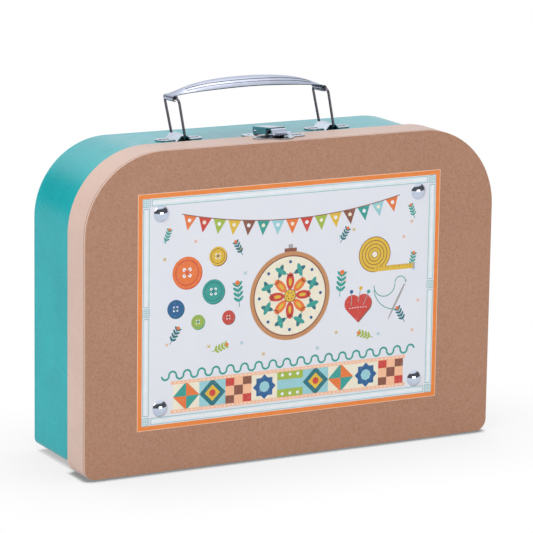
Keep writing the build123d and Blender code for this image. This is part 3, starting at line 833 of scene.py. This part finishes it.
def drawPatch(spot, kind):
    size, look = patchwork["size"], patchwork[kind]
    third = size / 3
    strip(patchwork["grounds"][kind], spot, size, size, 1)
    if kind == "pinwheel":
        for i in range(4):
            middle = around(spot, size * look["away"], 45 + 90 * i)
            corner(look["inks"][i % 2], middle, size / 2, 2, 90 * i)
    elif kind == "diamond":
        for level, (ink, share, sides) in enumerate(look, 2):
            disc(ink, spot, size * share, level, sides=sides)
    elif kind == "nine":
        for i, ink in enumerate(look):
            place = beside(spot, (2 * i % 3 - 1) * third, (2 * i // 3 - 1) * third)
            strip(ink, place, third, third, 2)
    elif kind == "star":
        for turn in (0, 45):
            disc("blue", spot, size * look["radius"], 2 + turn / 90, turn=turn, sides=4)
        disc("sky", spot, size * look["middle"], 3, sides=8)
    else:
        for i in (-1, 1):
            strip("lime", beside(spot, 0, i * third), size, third, 2)
            for j in (-1, 0, 1):
                place = beside(spot, j * size * look["apart"], i * third)
                disc("white", place, look["dot"], 3, sides=12)


def drawPatchwork():
    size, row, hem = patchwork["size"], patchwork["row"], patchwork["hem"]
    middle = patchwork["low"] + size / 2
    for i, kind in enumerate(row):
        drawPatch(((i - (len(row) - 1) / 2) * size, middle), kind)
    for side in (-1, 1):
        edge = middle + side * size / 2
        strip("peach", (0, edge), size * len(row) + hem["over"], hem["width"], 4)
        for i in range(hem["stitches"]):
            strip("white", (hem["pitch"] * (i - hem["stitches"] // 2), edge), *hem["stitch"], 5)


drawPatchwork()


# A wavy braid above it

braid = {"high": -42.5, "bend": 2.6, "width": 1.3, "count": 36}


def drawBraid():
    for i in range(braid["count"]):
        spot = ((2 * i - braid["count"] + 1) * braid["bend"], braid["high"])
        bow("teal", spot, braid["bend"], braid["width"], 0 if i % 2 else 180, 180, 2)


drawBraid()


# Leafy sprigs between the larger things: where, which way, how long and in what ink

sprigs = {
    "stem": 0.5, "pairs": 4, "open": 48, "slim": 0.42, "level": 1.4, "lift": 0.2,
    "first": 0.25, "next": 0.22, "leafAway": 0.15, "leaf": 0.16,  # shares of the length
    "budAway": 1.08, "bud": 0.11, "budLevel": 2.4,
    "all": [((-38, -2), 96, 15, "teal"), ((36, -2), 84, 15, "teal"),
            ((-88, -22), 60, 11, "deep"), ((-58, -30), 20, 11, "lime"),
            ((86, -24), 120, 11, "deep"), ((62, -32), 160, 11, "lime"),
            ((36, 34), 60, 10, "deep"), ((-36, 32), 120, 10, "deep"),
            ((90, 12), 80, 10, "teal"), ((-92, 44), 70, 9, "teal"), ((92, 46), 110, 9, "teal")],
}


def drawSprig(spot, turn, reach, ink):
    strip(ink, around(spot, reach / 2, turn), reach, sprigs["stem"], 1, turn)
    for i in range(sprigs["pairs"]):
        root = around(spot, reach * (sprigs["first"] + sprigs["next"] * i), turn)
        for side in (-1, 1):
            leaning = turn + side * sprigs["open"]
            middle = around(root, reach * sprigs["leafAway"], leaning)
            level = sprigs["level"] + sprigs["lift"] * side
            disc(ink, middle, reach * sprigs["leaf"], level, (1, sprigs["slim"]), leaning, sides=14)
    bud = around(spot, reach * sprigs["budAway"], turn)
    disc("orange", bud, reach * sprigs["bud"], sprigs["budLevel"], sides=12)


for settings in sprigs["all"]:
    drawSprig(*settings)


# Small cross stitches scattered in what is left

sprinkle = {
    "stitch": (3.0, 0.55), "inks": ["sky", "peach", "yellow"],
    "all": [(-92, 46), (-70, 44), (-38, 36), (-36, -26), (-90, -22), (-60, -26), (36, 38), (90, 44),
            (46, 42), (92, 12), (40, 8), (34, -26), (66, -30), (92, -30), (-92, 34), (-34, 20),
            (96, -10), (-20, -35), (20, -35), (84, 34)],
}
for i, spot in enumerate(sprinkle["all"]):
    for turn in (45, 135):
        strip(sprinkle["inks"][i % 3], spot, *sprinkle["stitch"], 1, turn)


# The ink itself, washed and lightly speckled with the paper

printing = {
    "washTone": seen(238, 226, 214),
    "wash": {"size": 6, "detail": 4, "rough": 0.6, "span": (0.35, 0.68), "share": (0, 0.30)},
    "speck": {"size": 1.2, "detail": 3, "rough": 0.6, "span": (0.58, 0.74), "share": (0, 0.22)},
}


def inkFinish():
    finish, tree, shader = newFinish("printedInk")
    drawn = put(tree, "Attribute", attribute_name="ink").outputs["Color"]
    wash = pattern(tree, **printing["wash"])
    tint = blendTones(tree, wash, drawn, printing["washTone"], "MULTIPLY")
    tint = blendTones(tree, pattern(tree, **printing["speck"]), tint, label["white"])
    tree.links.new(tint, shader.inputs["Base Color"])
    shader.inputs["Roughness"].default_value = label["satin"]
    return finish


def finishArtwork():
    bmesh.ops.reverse_faces(art, faces=[f for f in art.faces if f.normal.z < 0])
    standing = Matrix.Rotation(math.radians(90), 4, "X") @ Matrix.Scale(1 / perMetre, 4)
    onLabel = Matrix.Translation((labelMiddle.x, labelLow.y, labelMiddle.z))
    bmesh.ops.transform(art, matrix=onLabel @ standing, verts=art.verts)
    data = bpy.data.meshes.new("label_artwork")
    art.to_mesh(data)
    art.free()
    data.materials.append(inkFinish())
    piece = bpy.data.objects.new("label_artwork", data)
    bpy.context.scene.collection.objects.link(piece)
    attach(piece, "lid")
    print("label printed with", len(data.polygons), "flat shapes")


finishArtwork()


# Studio: a white table, a big lamp to the left, a weaker one in front and one above

studio = {
    "floor": {"tone": seen(240, 240, 240), "half": 30, "drop": 0.0002, "glow": 0.84},
    "shadows": [  # on the floor, by how much of the room above is hidden within a reach
        {"reach": 5.0, "span": (0.5, 0.9), "share": (0.3, 1)},  # dark line close round the case
        {"reach": 110.0, "span": (0.5, 1.0), "share": (0.86, 1)},  # soft shadow further out
    ],
    "sky": 0.53,  # plain light from all round
    "metal": {  # what polished things see: a ceiling that comes lower at the back, and a pale rear
        "tone": (0.82, 0.91, 1.0, 1.0),
        "lean": 0.25, "ceiling": (0.50, 0.66), "ceilingLevel": 0.95,
        "rearward": (0.62, 0.78, 0.05), "rear": (0.72, 0.92), "rearLevel": 0.78,
        "dimmest": 0.10,
    },
    "aim": (0, 0, 0.1),
    "lamps": [
        {"name": "keyLamp", "place": (-1.7, -0.5, 1.8), "size": 1.4, "watts": 24},
        {"name": "frontLamp", "place": (0.3, -2.2, 0.05), "size": 1.3, "watts": 21},
        {"name": "topLamp", "place": (0.1, 0.4, 2.2), "size": 1.6, "watts": 11.5},
    ],
}


def floorFinish():  # the camera sees through to the white room, darkened where the case is near
    finish = bpy.data.materials.new("studioFloor")
    finish.use_nodes = True
    tree = finish.node_tree
    tree.nodes.clear()
    rays = put(tree, "LightPath")
    dimming = 1.0
    for part in studio["shadows"]:
        shadow = ramp(tree, nook(tree, part["reach"]), *part["span"], *part["share"])
        dimming = work(tree, "MULTIPLY", dimming, shadow)
    grey = blendTones(tree, dimming, (0, 0, 0, 1), (1, 1, 1, 1))
    clear = put(tree, "BsdfTransparent", Color=grey)
    brightness = work(tree, "MULTIPLY", dimming, studio["floor"]["glow"])
    glow = put(tree, "Emission", Color=studio["metal"]["tone"], Strength=brightness)
    layer = put(tree, "BsdfDiffuse", Color=studio["floor"]["tone"]).outputs[0]
    for share, shader in (("Is Glossy Ray", glow), ("Is Camera Ray", clear)):
        either = put(tree, "MixShader")
        for socket, source in zip(either.inputs, (rays.outputs[share], layer, shader.outputs[0])):
            tree.links.new(source, socket)
        layer = either.outputs[0]
    tree.links.new(layer, put(tree, "OutputMaterial").inputs["Surface"])
    return finish


def makeFloor():
    data = bpy.data.meshes.new("studioFloor")
    plate = bmesh.new()
    bmesh.ops.create_grid(plate, x_segments=2, y_segments=2, size=studio["floor"]["half"])
    under = cadBox[0].z - studio["floor"]["drop"]
    bmesh.ops.translate(plate, verts=plate.verts, vec=(0, 0, under))
    plate.to_mesh(data)
    plate.free()
    floor = bpy.data.objects.new("studioFloor", data)
    bpy.context.scene.collection.objects.link(floor)
    data.materials.append(floorFinish())


def makeLamps():
    for lamp in studio["lamps"]:
        data = bpy.data.lights.new(lamp["name"], "AREA")
        data.shape = "SQUARE"
        data.size = lamp["size"]
        data.energy = lamp["watts"]
        thing = bpy.data.objects.new(lamp["name"], data)
        thing.location = lamp["place"]
        way = Vector(studio["aim"]) - Vector(lamp["place"])
        thing.rotation_euler = way.to_track_quat("-Z", "Y").to_euler()
        bpy.context.scene.collection.objects.link(thing)


def makeSurroundings():
    world = bpy.data.worlds.new("studioRoom")
    bpy.context.scene.world = world
    world.use_nodes = True
    tree = world.node_tree
    tree.nodes.clear()
    metal = studio["metal"]
    way = split(tree, "Generated")
    high = work(tree, "ADD", way["Z"], work(tree, "MULTIPLY", way["Y"], metal["lean"]))
    ceiling = ramp(tree, high, *metal["ceiling"], 0, metal["ceilingLevel"])
    rearward = alike(tree, put(tree, "TexCoord").outputs["Generated"], metal["rearward"])
    rear = ramp(tree, rearward, *metal["rear"], 0, metal["rearLevel"])
    seenInMetal = work(tree, "MAXIMUM", work(tree, "MAXIMUM", ceiling, rear), metal["dimmest"])
    rays = put(tree, "LightPath")
    glossy = rays.outputs["Is Glossy Ray"]
    level = blendLevels(tree, glossy, studio["sky"], seenInMetal)
    shown = work(tree, "MAXIMUM", level, rays.outputs["Is Camera Ray"])
    hue = blendTones(tree, glossy, (1, 1, 1, 1), metal["tone"])
    back = put(tree, "Background", Color=hue)
    tree.links.new(shown, back.inputs["Strength"])
    tree.links.new(back.outputs[0], put(tree, "OutputWorld").inputs["Surface"])


makeFloor()
makeLamps()
makeSurroundings()
bpy.context.scene.view_settings.view_transform = "Standard"
print("studio lit")
